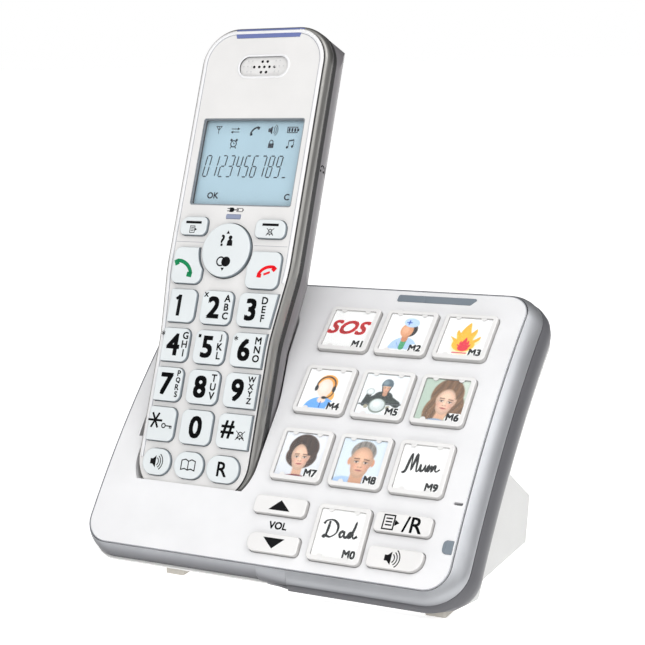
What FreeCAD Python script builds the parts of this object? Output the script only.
import FreeCAD, Part
import math
import os

# A cordless phone standing in its base. All sizes are in millimetres.
#
# Build frame: X to the right, Y to the back, Z up, with its origin at the middle of photo key 5
# on the base's panel. The last step moves everything so that Z = 0 is the table and X = Y = 0 is
# the middle of the object's box.
#
# Panel places are (x, s): s is the arc length up the panel from photo key 5.
# Handset places are (u, v, d): u across, v up the handset from key 5, d out of its face.

# --- Driving dimensions: base ---------------------------------------------------------------
PANEL_RADIUS = 337.0        # the panel is a gentle convex arc seen from the side
PANEL_TILT = 42.72          # its slope at photo key 5, in degrees
TABLE_Z = -54.3             # underside of the rubber feet
FLOOR_Z = -52.2             # underside of the base's shells
FASCIA = (-91.6, 37.8, -61.0, 43.3)       # left, right, bottom, top of the white panel
TRIM = (-93.9, 42.4, -65.3, 46.2)         # the same of the silver trim ring
FRAME = (-94.6, 44.2, -67.0, 46.8)        # the same of the dark frame behind it
REAR = (-92.4, 41.6, -64.0, 45.2)         # the same of the rear shell
WAIST = (-26.0, -15.0)      # the lower edge steps down between these two x
WAIST_DROP = 1.6            # how much lower the right part of the lower edge is
FASCIA_DEPTH = 2.2
TRIM_DEPTH = 4.6
FRAME_DEPTH = 15.0
SLAB_DEPTH = 18.6
TRIM_BEVEL = 3.2
TRIM_TOP = -0.15
STAND_X = (-89.5, 37.0)     # the stand foot behind the panel slab
STAND_PROFILE = ((-24.0, FLOOR_Z), (27.0, FLOOR_Z), (31.0, -39.0), (4.0, -19.0), (-22.0, -38.0))
WALL = 2.0

# --- Driving dimensions: photo keys and base keys ---------------------------------------------
PHOTO_PITCH = 20.8
PHOTO_ROWS = (24.5, 0.0, -24.0)
PHOTO_ZERO_ROW = -48.2
PHOTO_KEY = (18.3, 18.2)
PHOTO_RIM = 1.5
KEY_RISE = 1.6              # how far the base's keys stand above the panel
BASE_KEY_TRAVEL = 0.9
KEY_FIT = 0.2               # gap round a key in its hole
FLANGE = 0.6                # rim under the cover that keeps a key in
FLANGE_DEPTH = 0.6
FLANGE_GAP = 0.25           # between that rim and the cover
KEY_EDGE = 0.5              # rounding of a key's upper edges
VOLUME_UP = (-22.5, -41.8, 18.6, 6.0, (1.5, 1.5, 1.5, 1.5))
VOLUME_DOWN = (-21.4, -54.1, 18.2, 6.2, (2.8, 1.5, 1.5, 2.8))
MENU_KEY = (20.0, -42.5, 19.0, 6.3, (1.5, 1.5, 1.5, 1.5))
SPEAKER_KEY = (20.2, -53.4, 18.2, 6.6, (1.5, 4.2, 1.5, 1.5))

# --- Driving dimensions: handset ----------------------------------------------------------------
HANDSET_TILT = 65.3
HANDSET_ORIGIN = (-59.3, -7.2, 13.5)      # key 5's centre on the handset's face
HALF_WIDTH = 25.2
MIDDLE_U = 1.0
LOW_HALF = 22.5             # the handset is narrower below its middle
LOW_MIDDLE = 0.45
TAPER_V = (3.0, 27.0)       # the width changes between these two v
TAPER_RADIUS = 60.0
BOTTOM_V = -51.0
TOP_V = 112.6
DEPTH = 25.0
SIDE_DEPTH = -10.0          # the sides slope inwards beyond this depth
BACK_TAPER = 8.0            # by this much at the back
BACK_ROUND = 12.0           # rounding of the back's upper edge, seen from the side
SHELL_WALL = 3.6
BAND = (-0.8, -4.2)
BAND_WALL = 2.2
FACE_HALF = 23.6
FACE_DEPTH = 2.0
BACK_STEP = 14.0            # the battery cover wraps the back beyond this depth
DOOR_V = (-38.0, 54.8)
DOOR_WALL = 1.6
DOOR_TRAVEL = 3.5
DOOR_RAISE = 8.0            # from the handset's lower end to the cover's
HANDSET_FIT = 0.5           # gap between the handset and its cradle
CRADLE_GAP = 0.4            # gap below its foot
TUB_WALL = 1.6
TUB_RIGHT = -30.85          # the trough's wall ends here, clear of the photo keys
FLARE = (-31.3, 22.0)       # u of the flare's two sides at the panel
LIFT = 150.0
KEY_PITCH_U = 14.3
KEY_PITCH_V = 13.37
DIGIT_KEY = (12.1, 11.4)
OUTER_LEFT = -18.7
OUTER_RIGHT = 24.0          # the outer keys follow the handset's edge
KEY_MARGIN = 2.4            # from that edge to the keys
HANDSET_KEY_RISE = 1.2
HANDSET_KEY_TRAVEL = 0.8
NAV_V = 33.0
NAV_RADIUS = 9.3
NAV_TILT = 3.5
NAV_FIT = 0.35              # gap round the rocking key
NAV_RIDGE = 1.3             # from the round key to the keys that follow it
CALL_KEYS = ("key_talk", "key_end")
WINDOW = (1.5, 64.0, 39.1, 30.3)          # u, v, width, height
JACK = (64.5, -12.2)        # v and d of the headset socket
POST_TOP = -8.2             # d of the screw posts' ends, behind the board
MIC = (9.5, -46.0)          # u and v of the microphone
SPEAKER_V = 84.0
EAR = (1.7, 97.9)
LENS_U = (-10.8, 13.2)
LENS_V = 108.2

# --- Helpers --------------------------------------------------------------------------------------


def rounded_wire(points, height=0.0):
    """A closed wire through (x, y, corner radius) points in the plane z = height."""
    corners = []
    count = len(points)
    for i in range(count):
        here = FreeCAD.Vector(points[i][0], points[i][1], height)
        before = FreeCAD.Vector(points[i - 1][0], points[i - 1][1], height)
        after = FreeCAD.Vector(points[(i + 1) % count][0], points[(i + 1) % count][1], height)
        back = (before - here).normalize()
        ahead = (after - here).normalize()
        half = back.getAngle(ahead) / 2
        reach = points[i][2] / math.tan(half)
        middle_way = (back + ahead).normalize()
        mid = here + middle_way * (points[i][2] / math.sin(half) - points[i][2])
        corners.append((here + back * reach, mid, here + ahead * reach))
    edges = []
    for i in range(count):
        start, mid, end = corners[i]
        if points[i][2] > 0:
            edges.append(Part.Arc(start, mid, end).toShape())
        following = corners[(i + 1) % count][0]
        if end.distanceToPoint(following) > 1e-6:
            edges.append(Part.LineSegment(end, following).toShape())
    return Part.Wire(edges)


def prism(points, low, high):
    """A rounded outline in XY, filled and extruded from z = low to z = high."""
    return Part.Face(rounded_wire(points, low)).extrude(FreeCAD.Vector(0, 0, high - low))


def block(x, y, width, height, low, high, radii=(0.0, 0.0, 0.0, 0.0)):
    """A block centred on (x, y); radii go bottom left, bottom right, top right, top left."""
    left, right = x - width / 2, x + width / 2
    bottom, top = y - height / 2, y + height / 2
    corners = ((left, bottom), (right, bottom), (right, top), (left, top))
    return prism([(a, b, r) for (a, b), r in zip(corners, radii)], low, high)


def cylinder(x, y, radius, low, high):
    return Part.makeCylinder(radius, high - low, FreeCAD.Vector(x, y, low))


def edges_at(shape, height):
    """The edges that lie flat at z = height."""
    return [edge for edge in shape.Edges if abs(edge.CenterOfMass.z - height) < 1e-6]


def joined(shapes):
    whole = shapes[0]
    for shape in shapes[1:]:
        whole = whole.fuse(shape)
    return whole.removeSplitter()


def cut_all(shape, tools):
    return shape.cut(Part.makeCompound(list(tools)))


def panel_angle(s):
    return math.radians(PANEL_TILT) - s / PANEL_RADIUS


def panel_point(s, off=0.0):
    """(y, z) of arc length s, off millimetres out of the panel."""
    tilt = math.radians(PANEL_TILT)
    angle = panel_angle(s)
    y = (math.sin(tilt) - math.sin(angle)) * PANEL_RADIUS - off * math.sin(angle)
    z = (math.cos(angle) - math.cos(tilt)) * PANEL_RADIUS + off * math.cos(angle)
    return y, z


def on_panel(shape, x, s, off=0.0):
    """Moves a shape from XY with Z up to a place on the panel."""
    y, z = panel_point(s, off)
    turn = FreeCAD.Rotation(FreeCAD.Vector(1, 0, 0), math.degrees(panel_angle(s)))
    return placed(shape, FreeCAD.Placement(FreeCAD.Vector(x, y, z), turn))


def placed(shape, placement):
    result = shape.copy()
    result.Placement = placement.multiply(result.Placement)
    return result


def panel_prism(points, low, high):
    """An outline of (x, s, radius) points cut straight through the panel at photo key 5."""
    chord = [(x, PANEL_RADIUS * math.sin(s / PANEL_RADIUS), r) for x, s, r in points]
    return on_panel(prism(chord, low, high), 0.0, 0.0)


def panel_slab(top, bottom, reach=90.0, x_low=-100.0, x_high=50.0):
    """A curved plate that follows the panel between two offsets."""
    def arc(off):
        ends = [FreeCAD.Vector(x_low, *panel_point(s, off)) for s in (-reach, 0.0, reach)]
        return Part.Arc(*ends).toShape()
    upper, lower = arc(top), arc(bottom)
    sides = []
    for i in (0, -1):
        a = upper.Vertexes[i].Point
        b = lower.Vertexes[i].Point
        sides.append(Part.LineSegment(a, b).toShape())
    wire = Part.Wire(Part.__sortEdges__([upper, sides[1], lower, sides[0]]))
    return Part.Face(wire).extrude(FreeCAD.Vector(x_high - x_low, 0, 0))


def side_prism(profile, x_low, x_high):
    """A (y, z) outline extruded along X."""
    points = [FreeCAD.Vector(x_low, y, z) for y, z in profile]
    wire = Part.makePolygon(points + points[:1])
    return Part.Face(wire).extrude(FreeCAD.Vector(x_high - x_low, 0, 0))


def outline(limits, corner, waist=0.0, inset=0.0):
    """The base's outline: its lower edge is higher on the left of the waist."""
    left, right, bottom, top = limits
    left, right, bottom, top = left + inset, right - inset, bottom + inset, top - inset
    step = [(WAIST[0], bottom + waist, 9.0), (WAIST[1], bottom, 9.0)] if waist else []
    start = [(left, bottom + waist, corner)]
    return start + step + [(right, bottom, corner), (right, top, corner), (left, top, corner)]


def on_handset(shape):
    """Moves a shape from (u, v, d) axes to the docked handset."""
    turn = FreeCAD.Rotation(FreeCAD.Vector(1, 0, 0), HANDSET_TILT)
    return placed(shape, FreeCAD.Placement(FreeCAD.Vector(*HANDSET_ORIGIN), turn))


def body_section(half, middle, front, back):
    """The handset's cross-section as (u, d, radius) points."""
    left, right = middle - half, middle + half
    return [(left + BACK_TAPER, back, 5.0), (right - BACK_TAPER, back, 5.0),
            (right, SIDE_DEPTH, 8.0), (right, front, 0.0), (left, front, 0.0), (left, SIDE_DEPTH, 8.0)]


def width_at(v):
    """Half-width and middle of the handset at v."""
    share = min(max((v - TAPER_V[0]) / (TAPER_V[1] - TAPER_V[0]), 0.0), 1.0)
    half = LOW_HALF + (HALF_WIDTH - LOW_HALF) * share
    return half, LOW_MIDDLE + (MIDDLE_U - LOW_MIDDLE) * share


def body_tube(grow, v_low, v_high, front):
    """The handset's cross-section, grown by a gap, run along v."""
    upright = FreeCAD.Placement(FreeCAD.Vector(0, 0, 0), FreeCAD.Rotation(FreeCAD.Vector(1, 0, 0), 90))
    wires = []
    for v in [v_low] + [v for v in TAPER_V if v_low < v < v_high] + [v_high]:
        half, middle = width_at(v)
        section = body_section(half + grow, middle, front, -DEPTH - grow)
        wires.append(placed(rounded_wire(section, -v), upright))
    return Part.makeLoft(wires, True, True)


def body_outline(inset=0.0, low=BOTTOM_V, high=TOP_V, low_radius=14.0, high_radius=13.5):
    """The handset's outline seen from the front."""
    left, right = MIDDLE_U - HALF_WIDTH + inset, MIDDLE_U + HALF_WIDTH - inset
    low_left, low_right = LOW_MIDDLE - LOW_HALF + inset, LOW_MIDDLE + LOW_HALF - inset
    bottom, top = low + inset, high - inset
    low_radius, high_radius = max(low_radius - inset, 1.0), max(high_radius - inset, 1.0)
    start, end = TAPER_V
    return [(low_left, bottom, low_radius), (low_right, bottom, low_radius),
            (low_right, start, TAPER_RADIUS), (right, end, TAPER_RADIUS), (right, top, high_radius),
            (left, top, high_radius), (left, end, TAPER_RADIUS), (low_left, start, TAPER_RADIUS)]


# --- Keys -------------------------------------------------------------------------------------------


def key_hole(x, y, width, height, radii, low, high):
    """The hole that a key moves in."""
    wide = [r + KEY_FIT if r else 0.0 for r in radii]
    return block(x, y, width + 2 * KEY_FIT, height + 2 * KEY_FIT, low, high, wide)


def key_cap(x, y, width, height, radii, rise, depth, flange=FLANGE):
    """A key: a cap through the cover and a flange below it."""
    under = -depth - FLANGE_GAP
    cap = block(x, y, width, height, under - FLANGE_DEPTH, rise, radii)
    cap = cap.makeFillet(KEY_EDGE, edges_at(cap, rise))
    wide = [r + flange if r else 0.0 for r in radii]
    rim = block(x, y, width + 2 * flange, height + 2 * flange, under - FLANGE_DEPTH, under, wide)
    return cap.fuse(rim).removeSplitter()


def photo_key():
    """A photo key: a frame round the bed that holds the card and its clear cover."""
    width, height = PHOTO_KEY
    key = key_cap(0, 0, width, height, (1.8,) * 4, KEY_RISE, FASCIA_DEPTH)
    bed = block(0, 0, width - 2 * PHOTO_RIM, height - 2 * PHOTO_RIM, KEY_RISE - 0.9,
                KEY_RISE + 1.0, (0.6,) * 4)
    return key.cut(bed)


def photo_key_places():
    """Name, x and s of the ten photo keys."""
    places = []
    number = 1
    for s in PHOTO_ROWS:
        for column in (-1, 0, 1):
            places.append((f"photo_key_{number}", column * PHOTO_PITCH, s))
            number += 1
    return places + [("photo_key_0", 0.0, PHOTO_ZERO_ROW)]


BASE_KEYS = {
    "volume_up_key": VOLUME_UP,
    "volume_down_key": VOLUME_DOWN,
    "menu_key": MENU_KEY,
    "base_speaker_key": SPEAKER_KEY,
}


def digit_key_boxes():
    """Name to (u, v, width, height, radii) of the twelve digit keys."""
    names = ("key_1", "key_2", "key_3", "key_4", "key_5", "key_6",
             "key_7", "key_8", "key_9", "key_star", "key_0", "key_hash")
    inner = KEY_PITCH_U - DIGIT_KEY[0] / 2
    spans = ((OUTER_LEFT, -inner), (-DIGIT_KEY[0] / 2, DIGIT_KEY[0] / 2), (inner, OUTER_RIGHT))
    corners = ((0.6, 2.4, 2.4, 0.6), (2.4,) * 4, (2.4, 0.6, 0.6, 2.4))
    boxes = {}
    for i, name in enumerate(names):
        row, column = divmod(i, 3)
        left, right = spans[column]
        v = (1 - row) * KEY_PITCH_V
        boxes[name] = ((left + right) / 2, v, right - left, DIGIT_KEY[1], corners[column])
    return boxes


def handset_key_boxes():
    """Name to (u, v, width, height, radii) of every handset key but the round one."""
    boxes = digit_key_boxes()
    boxes["key_soft_left"] = (-14.4, 41.0, 10.6, 6.4, (2.0, 2.0, 2.0, 3.1))
    boxes["key_soft_right"] = (15.6, 40.8, 11.6, 6.4, (2.0, 2.0, 3.1, 2.0))
    boxes["key_talk"] = (-14.1, 27.3, 12.0, 12.6, (2.6,) * 4)
    boxes["key_end"] = (15.4, 26.8, 12.6, 12.6, (2.6,) * 4)
    boxes["key_speaker"] = (-12.9, -39.3, 10.8, 8.8, (4.2,) * 4)
    boxes["key_phonebook"] = (-0.3, -39.3, 11.2, 8.8, (4.2,) * 4)
    boxes["key_recall"] = (12.7, -39.3, 12.2, 8.8, (4.2,) * 4)
    return boxes


def keypad_area(margin):
    """The room inside the handset's edge, a margin away from it."""
    return prism(body_outline(margin), -20, 20)


def nav_cut(extra=0.0):
    """The round key's place, which the talk and end keys follow."""
    return cylinder(0, NAV_V, NAV_RADIUS + NAV_RIDGE + extra, -10, 10)


def handset_key(name, box):
    """One handset key. The call keys are hollowed to follow the round key."""
    if name in CALL_KEYS:
        return key_cap(*box, HANDSET_KEY_RISE, FACE_DEPTH, 0.0).cut(nav_cut())
    return key_cap(*box, HANDSET_KEY_RISE, FACE_DEPTH).common(keypad_area(KEY_MARGIN))


def nav_key():
    """The round up and down key: a dished disc that rocks about its middle."""
    top = HANDSET_KEY_RISE + 0.2
    disc = cylinder(0, NAV_V, NAV_RADIUS, -FACE_DEPTH - 0.7, top)
    return disc.makeFillet(KEY_EDGE, edges_at(disc, top))


# --- Handset ------------------------------------------------------------------------------------------


def handset_lens(grow=0.0):
    """The light at the handset's top: a bar let into the rounded end."""
    left, right = LENS_U[0] - grow, LENS_U[1] + grow
    bar = prism([(left, LENS_V - grow, 1.0), (right, LENS_V - grow, 1.0),
                 (right + 1.4, TOP_V + 5, 0.0), (left - 1.4, TOP_V + 5, 0.0)],
                BAND[1] + 1.0 - grow, 5)
    return bar


def handset_front_cover():
    face = prism(body_outline(HALF_WIDTH - FACE_HALF), -FACE_DEPTH, 0.0)
    holes = [cylinder(0, NAV_V, NAV_RADIUS + NAV_FIT, -10, 10)]
    for name, box in handset_key_boxes().items():
        hole = key_hole(*box, -10, 10).common(keypad_area(KEY_MARGIN - KEY_FIT))
        holes.append(hole.cut(nav_cut(-KEY_FIT)) if name in CALL_KEYS else hole)
    u, v, width, height = WINDOW
    holes.append(block(u, v, width, height, -10, 10, (0.6,) * 4))
    holes.append(block(0, 44.85, 5.8, 1.7, -10, 10, (0.4,) * 4))
    holes.append(block(*EAR, 18.8, 7.0, -0.6, 10, (3.4,) * 4))
    for row, count in ((1.9, 2), (0.0, 5), (-1.9, 2)):
        for i in range(count):
            along = (i - (count - 1) / 2) * 2.0
            holes.append(cylinder(EAR[0] + along, EAR[1] + row, 0.5, -10, 10))
    holes.append(cylinder(MIC[0], MIC[1] - 1.4, 0.6, -10, 10))
    holes.append(handset_lens(0.05))
    return cut_all(face, holes)


def handset_trim_band():
    band = prism(body_outline(), BAND[1], BAND[0])
    band = band.makeFillet(1.4, edges_at(band, BAND[0]))
    inside = prism(body_outline(HALF_WIDTH - FACE_HALF), -FACE_DEPTH, 5)
    hollow = prism(body_outline(BAND_WALL), -20, 5)
    return cut_all(band, [inside, hollow, handset_lens(0.05)])


def headset_bore():
    """The opening for a headset's plug, in the right-hand side."""
    start = FreeCAD.Vector(MIDDLE_U + HALF_WIDTH - 8, JACK[0], JACK[1])
    return Part.makeCylinder(1.9, 12, start, FreeCAD.Vector(1, 0, 0))


def back_profile(inset):
    """The handset's side view, run from side to side, with its upper back edge rounded."""
    across = FreeCAD.Placement(FreeCAD.Vector(0, 0, 0), FreeCAD.Rotation(FreeCAD.Vector(1, 1, 1), 120))
    top, back = TOP_V - inset, inset - DEPTH
    corners = [(-80.0, back, 0.0), (top, back, BACK_ROUND - inset), (top, 20.0, 0.0), (-80.0, 20.0, 0.0)]
    wire = placed(rounded_wire(corners, -40.0), across)
    return Part.Face(wire).extrude(FreeCAD.Vector(80, 0, 0))


def cover_hull(grow, v_low, v_high, front):
    """A rounded length of the handset's back."""
    hull = body_tube(grow, v_low, v_high, 20).common(prism(body_outline(-grow), -40, front))
    return hull.common(back_profile(-grow))


def handset_back_cover():
    """The back: full size above the battery cover, stepped in below it, open at the front."""
    join = BAND[1]
    upper = cover_hull(0.0, DOOR_V[1] + 0.2, 130, join)
    flange = cover_hull(0.0, -60, 130, join)
    flange = flange.common(Part.makeBox(100, 200, 20, FreeCAD.Vector(-50, -70, -BACK_STEP + 0.2)))
    lower = cover_hull(-DOOR_WALL - 0.2, -60, 130, join)
    floor = -DEPTH + SHELL_WALL
    inside = body_tube(-SHELL_WALL, -48.6, 108.6, 10).common(prism(body_outline(BAND_WALL), -40, 10))
    inside = inside.common(back_profile(SHELL_WALL))
    shell = joined([upper, flange, lower]).cut(inside)
    posts = [cylinder(u, v, 2.6, floor - 0.2, POST_TOP) for u, v in handset_screw_places()]
    tools = [block(MIDDLE_U, 14.0, 25.0, 49.0, -DEPTH - 1, -15, (1.0,) * 4), headset_bore()]
    for i in range(7):
        u = MIDDLE_U + (i - 3) * 3.0
        tools.append(block(u, SPEAKER_V, 1.2, 14.0, -DEPTH - 1, -20, (0.55,) * 4))
    for u, v in handset_screw_places():
        tools.append(cylinder(u, v, 2.2, -DEPTH - 1, -20.4))
        tools.append(cylinder(u, v, 1.15, -22, 0))
    for side in (-1, 1):
        tools.append(block(MIDDLE_U + side * 8.0, -50, 4.2, 20, -13.1, -10.9))
    return cut_all(joined([shell] + posts), tools)


def handset_screw_places():
    return [(MIDDLE_U + side * 10.5, v) for side in (-1, 1) for v in (-24.0, 50.0)]


def handset_screws():
    screws = []
    for u, v in handset_screw_places():
        head = cylinder(u, v, 2.0, -22.4, -20.5)
        cross = [block(u, v, 2.4, 0.6, -23, -21.7), block(u, v, 0.6, 2.4, -23, -21.7)]
        screws.append(cut_all(head.fuse(cylinder(u, v, 1.1, -21, -8.6)), cross))
    return Part.makeCompound(screws)


def battery_cover():
    """The sliding cover wraps the lower back from side to side."""
    outer = cover_hull(0.0, DOOR_V[0], DOOR_V[1], -BACK_STEP)
    inner = cover_hull(-DOOR_WALL, DOOR_V[0] - 1, DOOR_V[1] + 1, 0)
    raised_end = prism(body_outline(low=BOTTOM_V + DOOR_RAISE), -40, 0)
    cover = outer.common(raised_end).cut(inner)
    grips = [block(MIDDLE_U, 44.0 - i * 1.8, 16.0 - abs(i - 2) * 1.5, 0.8, -DEPTH - 1,
                   -DEPTH + 0.5, (0.35,) * 4) for i in range(5)]
    return cut_all(cover, grips)


def battery_cells():
    cells = []
    for side in (-1, 1):
        u = MIDDLE_U + side * 5.6
        body = Part.makeCylinder(5.2, 43.3, FreeCAD.Vector(u, -8.0, -16.2), FreeCAD.Vector(0, 1, 0))
        cap_v = 35.3 if side > 0 else -9.0
        cap = Part.makeCylinder(1.9, 1.0, FreeCAD.Vector(u, cap_v, -16.2), FreeCAD.Vector(0, 1, 0))
        cells.append(body.fuse(cap))
    return Part.makeCompound(cells)


def display_window():
    u, v, width, height = WINDOW
    return block(u, v, width - 0.1, height - 0.1, -1.6, -0.6, (0.6,) * 4)


def lcd_module():
    u, v, width, height = WINDOW
    frame = block(u, v, width + 2.4, height + 3.4, -5.2, -2.1, (0.8,) * 4)
    return frame.cut(block(u, v, width - 1.0, height - 1.0, -2.6, 0, (0.4,) * 4))


def handset_ringer_lens():
    shell = prism(body_outline(0.3), BAND[1] + 1.0, -0.1)
    shell = shell.makeFillet(2.0, edges_at(shell, -0.1))
    hollow = prism(body_outline(2.4), -20, -FACE_DEPTH)
    return shell.common(handset_lens()).cut(hollow)


def charge_indicator_lens():
    return block(0, 44.85, 5.6, 1.5, -1.9, 0.15, (0.3,) * 4)


def handset_board():
    """The circuit board, with the microphone and the headset socket on it."""
    board = block(LOW_MIDDLE, 27.4, 37.0, 149.6, -7.8, -6.6, (10.0,) * 4)
    board = cut_all(board, [cylinder(u, v, 2.0, -20, 0) for u, v in handset_screw_places()])
    microphone = cylinder(*MIC, 2.0, -6.6, -4.0)
    jack = block(15.2, JACK[0], 7.6, 6.0, -14.4, -7.8)
    start = FreeCAD.Vector(12.5, *JACK)
    hole = Part.makeCylinder(1.25, 12, start, FreeCAD.Vector(1, 0, 0))
    crystal = block(-8.0, 70.0, 12.0, 12.0, -9.0, -7.8)
    return Part.makeCompound([joined([board, jack, crystal]).cut(hole), microphone])


def earpiece():
    rim = cylinder(EAR[0], EAR[1] - 1.3, 8.6, -6.0, -2.1)
    return rim.cut(cylinder(EAR[0], EAR[1] - 1.3, 7.0, -2.8, 0))


def handset_loudspeaker():
    basket = cylinder(MIDDLE_U, SPEAKER_V, 11.5, -20.8, -16.6)
    magnet = cylinder(MIDDLE_U, SPEAKER_V, 6.0, -16.6, -13.0)
    cone = cylinder(MIDDLE_U, SPEAKER_V, 9.8, -21, -19.6)
    return basket.cut(cone).fuse(magnet).removeSplitter()


def handset_charge_pads():
    pads = []
    for side in (-1, 1):
        u = MIDDLE_U + side * 8.0
        pads.append(block(u, -49.2, 4.0, 2.6, -13.0, -11.0))
    return Part.makeCompound(pads)


def handset_keypad_mat():
    mat = block(LOW_MIDDLE, 1.2, 37.0, 89.6, -5.0, -4.0, (9.0, 9.0, 3.0, 3.0))
    domes = [cylinder(u, v, 2.4, -6.5, -5.0) for u, v, *_ in handset_key_boxes().values()]
    return joined([mat] + domes)


# --- Base -------------------------------------------------------------------------------------------


def above_floor(shape):
    """Cuts a base piece off flat at the underside."""
    return shape.common(Part.makeBox(300, 300, 300, FreeCAD.Vector(-150, -150, FLOOR_Z)))


def cradle_space(grow=0.0):
    """The trough that the handset stands in: its own shape plus a flare that opens upwards."""
    fit = HANDSET_FIT + grow
    tube = body_tube(fit, BOTTOM_V - CRADLE_GAP - grow, 75, fit)
    ends = body_outline(-fit, low=BOTTOM_V + HANDSET_FIT - CRADLE_GAP, high=110)
    tube = tube.common(prism(ends, -60, 20))
    left, right = MIDDLE_U - HALF_WIDTH - fit, MIDDLE_U + HALF_WIDTH + fit - BACK_TAPER
    low, high = -34.0 - grow, 70.0
    floor = rounded_wire([(left, low, 3.0), (right, low, 3.0), (right, high, 3.0),
                          (left, high, 3.0)], -DEPTH - fit)
    mouth = rounded_wire([(left, low, 3.0), (FLARE[1] + grow, low, 3.0), (FLARE[1] + grow, high, 3.0),
                          (FLARE[0] - grow, high, 3.0)], -4.0)
    return on_handset(tube.fuse(Part.makeLoft([floor, mouth], True)))


def base_front_cover():
    """The white panel, in one piece with the cradle's trough."""
    panel = panel_prism(outline(FASCIA, 8.0), -30, 30).common(panel_slab(0.0, -FASCIA_DEPTH))
    limit = panel_prism(outline(REAR, 10.0, 0.0, WALL + 0.4), -70, 30)
    tub = cradle_space(TUB_WALL).common(limit).common(panel_slab(-FASCIA_DEPTH, -40.0))
    floor_z = FLOOR_Z + WALL + 0.2
    width = TUB_RIGHT + 150
    tub = tub.common(Part.makeBox(width, 300, 300, FreeCAD.Vector(-150, -150, floor_z)))
    cover = panel.fuse(tub).cut(cradle_space())
    holes = []
    for name, x, s in photo_key_places():
        hole = key_hole(0, 0, *PHOTO_KEY, (1.8,) * 4, -4, 4)
        holes.append(on_panel(hole, x, s))
    for x, s, *size in BASE_KEYS.values():
        holes.append(on_panel(key_hole(0, 0, *size, -4, 4), x, s))
    holes += light_lens_shapes(0.05)
    holes.append(on_panel(block(0, 0, 3.0, 1.0, -4, 4, (0.4,) * 4), 35.2, -33.5))
    holes += [on_handset(shape) for shape in contact_shapes(0.15)]
    return cut_all(cover, holes)


def light_lens_shapes(grow):
    """The ringer light bar at the top and the status light at the right edge."""
    bar = prism([(-14.4 - grow, -1.4 - grow, 0.6), (12.0 + grow, -1.4 - grow, 0.6),
                 (14.2 + grow, 1.4 + grow, 0.6), (-14.4 - grow, 1.4 + grow, 0.6)], -2.2, 0.2)
    status = block(0, 0, 3.2 + 2 * grow, 4.2 + 2 * grow, -2.2, 0.2, (1.4, 0.2, 0.2, 1.4))
    return [on_panel(bar, 5.7, 39.9), on_panel(status, 35.4, -47.3)]


def base_light_lenses():
    return Part.makeCompound(light_lens_shapes(0.0))


def contact_shapes(grow):
    """Two spring contacts standing in the trough's floor."""
    shapes = []
    for side in (-1, 1):
        u = MIDDLE_U + side * 8.0
        shapes.append(block(u, BOTTOM_V - 2.15, 2.6 + 2 * grow, 4.0 + 2 * grow,
                            -13.0 - grow, -11.0 + grow))
    return shapes


def cradle_contacts():
    return on_handset(Part.makeCompound(contact_shapes(0.0)))


def base_trim_ring():
    """The silver ring round the panel, bevelled towards it."""
    solid = panel_prism(outline(TRIM, 12.5, WAIST_DROP), -40, 30).common(
        panel_slab(TRIM_TOP, -TRIM_DEPTH))
    solid = solid.makeChamfer(TRIM_BEVEL, edges_off_panel(solid, TRIM_TOP))
    hollow = panel_prism(outline(FASCIA, 8.0, 0.0, -0.05), -40, 30)
    return above_floor(solid.cut(hollow))


def edges_off_panel(shape, off):
    """The edges that follow the panel at an offset."""
    return [edge for edge in shape.Edges if abs(panel_offset(edge.CenterOfMass) - off) < 0.4]


def panel_offset(point):
    """How far a point stands out of the panel."""
    tilt = math.radians(PANEL_TILT)
    centre_y = math.sin(tilt) * PANEL_RADIUS
    centre_z = -math.cos(tilt) * PANEL_RADIUS
    return math.hypot(point.y - centre_y, point.z - centre_z) - PANEL_RADIUS


def base_mid_frame():
    """The dark frame between the trim ring and the rear shell."""
    solid = panel_prism(outline(FRAME, 13.5, WAIST_DROP), -60, 30)
    band = solid.common(panel_slab(-TRIM_BEVEL, -FRAME_DEPTH))
    trim = panel_prism(outline(TRIM, 12.5, WAIST_DROP), -60, 30).common(
        panel_slab(5.0, -TRIM_DEPTH - 0.05))
    hollow = panel_prism(outline(REAR, 11.0, 0.0, -0.1), -70, 30)
    return above_floor(cut_all(band, [trim, hollow]))


def stand_solid():
    """The stand foot behind the slab."""
    solid = side_prism(STAND_PROFILE, *STAND_X)
    backs = [edge for edge in solid.Edges if edge.CenterOfMass.y > STAND_PROFILE[1][0] - 0.5]
    return solid.makeFillet(2.5, backs)


def stand_room():
    """The room inside the stand foot, open to the slab's."""
    front, back = STAND_PROFILE[0][0] + WALL, STAND_PROFILE[1][0] - WALL
    top_y, top_z = STAND_PROFILE[2]
    profile = [(front, FLOOR_Z + WALL), (back, FLOOR_Z + WALL), (top_y - WALL - 0.4, top_z - 1.0),
               (STAND_PROFILE[3][0], STAND_PROFILE[3][1] - WALL - 0.6), (STAND_PROFILE[3][0] - 6, -14.0),
               (front - 6, -32.0)]
    return side_prism(profile, STAND_X[0] + WALL, STAND_X[1] - WALL)


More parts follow.
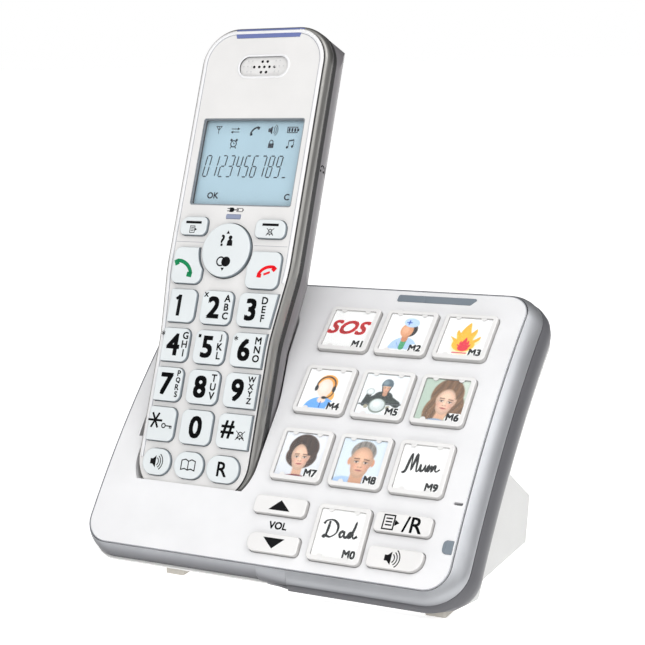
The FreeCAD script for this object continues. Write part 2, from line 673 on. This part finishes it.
def base_rear_shell():
    """The light shell: a tray behind the panel, the stand foot and a housing for the trough."""
    slab = panel_prism(outline(REAR, 11.0), -70, 30).common(panel_slab(-5.2, -SLAB_DEPTH))
    slab = slab.makeFillet(2.4, edges_off_panel(slab, -SLAB_DEPTH))
    limit = panel_prism(outline(REAR, 11.0, 0.0, WALL), -70, 30).common(panel_slab(-10, -40))
    housing = cradle_space(TUB_WALL + WALL + 0.2).common(limit)
    outer = above_floor(joined([slab, stand_solid(), housing]))
    tray = panel_prism(outline(REAR, 9.0, 0.0, WALL), -70, 30).common(
        panel_slab(5.0, -SLAB_DEPTH + WALL))
    room = tray.fuse(stand_room()).common(
        Part.makeBox(300, 300, 300, FreeCAD.Vector(-150, -150, FLOOR_Z + WALL)))
    tub = cradle_space(TUB_WALL + 0.2).common(
        Part.makeBox(300, 300, 300, FreeCAD.Vector(-150, -150, FLOOR_Z + WALL)))
    return cut_all(outer, [room, tub] + rear_openings())


def rear_openings():
    """Socket windows in the stand's rear wall and the loudspeaker's slots."""
    tools = [Part.makeBox(12.4, 20, 9.4, FreeCAD.Vector(-16.2, 20, -48.7))]
    tools.append(Part.makeCylinder(4.1, 20, FreeCAD.Vector(5.0, 20, -44.0), FreeCAD.Vector(0, 1, 0)))
    for i in range(9):
        slot = block(0, 0, 1.4, 26.0 - abs(i - 4) * 3.0, -SLAB_DEPTH - 4, -SLAB_DEPTH + 4, (0.6,) * 4)
        tools.append(on_panel(slot, (i - 4) * 3.2 + 8.0, 24.0))
    for x, y in screw_places():
        tools.append(cylinder(x, y, 1.5, FLOOR_Z - 1, FLOOR_Z + 4))
        tools.append(cylinder(x, y, 2.9, FLOOR_Z - 1, FLOOR_Z + 1.0))
    return tools


def screw_places():
    return [(x, y) for x in (-80.0, 28.0) for y in (-14.0, 18.0)]


def base_screws():
    screws = []
    for x, y in screw_places():
        head = cylinder(x, y, 2.7, FLOOR_Z + 0.1, FLOOR_Z + 1.0)
        cross = [block(x, y, 3.0, 0.7, FLOOR_Z, FLOOR_Z + 0.6),
                 block(x, y, 0.7, 3.0, FLOOR_Z, FLOOR_Z + 0.6)]
        shank = cylinder(x, y, 1.4, FLOOR_Z + 1.0, FLOOR_Z + 8.0)
        screws.append(cut_all(head.fuse(shank), cross))
    return Part.makeCompound(screws)


def rubber_feet():
    feet = []
    for x in (-58.8, 33.0):
        feet.append(block(x, -34.4, 6.8, 6.6, TABLE_Z, FLOOR_Z, (0.8,) * 4))
    for x in (-76.0, 24.0):
        feet.append(block(x, 22.0, 6.8, 6.6, TABLE_Z, FLOOR_Z, (0.8,) * 4))
    return Part.makeCompound(feet)


def base_board():
    """The base's circuit board, with its power and telephone line sockets."""
    plate = panel_prism([(-27.0, -54.0, 3.0), (36.0, -54.0, 3.0), (36.0, 40.0, 3.0),
                         (-27.0, 40.0, 3.0)], -70, 30)
    plate = plate.common(panel_slab(-8.0, -9.6))
    line = Part.makeBox(11.8, 16.0, 8.8, FreeCAD.Vector(-15.9, 10.6, -48.4))
    line = line.cut(Part.makeBox(9.8, 14.0, 6.8, FreeCAD.Vector(-14.9, 14.6, -47.4)))
    power = Part.makeCylinder(3.9, 16.0, FreeCAD.Vector(5.0, 10.8, -44.0), FreeCAD.Vector(0, 1, 0))
    power = power.cut(Part.makeCylinder(2.8, 12.0, FreeCAD.Vector(5.0, 14.8, -44.0),
                                        FreeCAD.Vector(0, 1, 0)))
    pin = Part.makeCylinder(0.65, 10.0, FreeCAD.Vector(5.0, 14.8, -44.0), FreeCAD.Vector(0, 1, 0))
    return Part.makeCompound([plate, line, power.fuse(pin)])


def base_keypad_mat():
    mat = panel_prism([(-29.5, -58.0, 2.0), (32.0, -58.0, 2.0), (32.0, 35.5, 2.0),
                       (-29.5, 35.5, 2.0)], -70, 30)
    return mat.common(panel_slab(-4.4, -5.4))


def base_loudspeaker():
    basket = block(0, 0, 30.0, 30.0, -16.2, -14.4, (14.9,) * 4)
    magnet = cylinder(0, 0, 8.0, -14.4, -11.0)
    return on_panel(basket.fuse(magnet), 8.0, 24.0)


# --- All nodes ------------------------------------------------------------------------------------


def build_nodes():
    """Node name to shape, in the build frame."""
    nodes = {
        "base_front_cover": base_front_cover(),
        "base_trim_ring": base_trim_ring(),
        "base_mid_frame": base_mid_frame(),
        "base_rear_shell": base_rear_shell(),
        "base_board": base_board(),
        "base_keypad_mat": base_keypad_mat(),
        "base_loudspeaker": base_loudspeaker(),
        "base_light_lenses": base_light_lenses(),
        "base_screws": base_screws(),
        "rubber_feet": rubber_feet(),
        "cradle_contacts": cradle_contacts(),
    }
    for name, x, s in photo_key_places():
        nodes[name] = on_panel(photo_key(), x, s)
    for name, (x, s, width, height, radii) in BASE_KEYS.items():
        cap = key_cap(0, 0, width, height, radii, KEY_RISE, FASCIA_DEPTH)
        nodes[name] = on_panel(cap, x, s)
    handset = {
        "handset_front_cover": handset_front_cover(),
        "handset_trim_band": handset_trim_band(),
        "handset_back_cover": handset_back_cover(),
        "handset_ringer_lens": handset_ringer_lens(),
        "handset_board": handset_board(),
        "handset_loudspeaker": handset_loudspeaker(),
        "handset_charge_pads": handset_charge_pads(),
        "handset_screws": handset_screws(),
        "handset_keypad_mat": handset_keypad_mat(),
        "charge_indicator_lens": charge_indicator_lens(),
        "display_window": display_window(),
        "lcd_module": lcd_module(),
        "earpiece": earpiece(),
        "battery_cells": battery_cells(),
        "battery_cover": battery_cover(),
        "key_nav": nav_key(),
    }
    for name, box in handset_key_boxes().items():
        handset[name] = handset_key(name, box)
    for name, shape in handset.items():
        nodes[name] = on_handset(shape)
    return nodes


def row_shift(nodes):
    """What brings the middle of the object's underside to the origin."""
    box = Part.makeCompound(list(nodes.values())).optimalBoundingBox(False)
    return FreeCAD.Vector(-(box.XMin + box.XMax) / 2, -(box.YMin + box.YMax) / 2, -box.ZMin)


def main():
    os.makedirs("parts", exist_ok=True)
    nodes = build_nodes()
    shift = FreeCAD.Placement(row_shift(nodes), FreeCAD.Rotation())
    for name, shape in nodes.items():
        placed(shape, shift).exportStep(f"parts/{name}.step")
    print(len(nodes), "nodes, shift", tuple(round(value, 4) for value in row_shift(nodes)))
    print("travels in mm: handset", LIFT, "battery cover", DOOR_TRAVEL, "handset keys",
          HANDSET_KEY_TRAVEL, "base keys", BASE_KEY_TRAVEL, "and the round key", NAV_TILT, "degrees")


main()
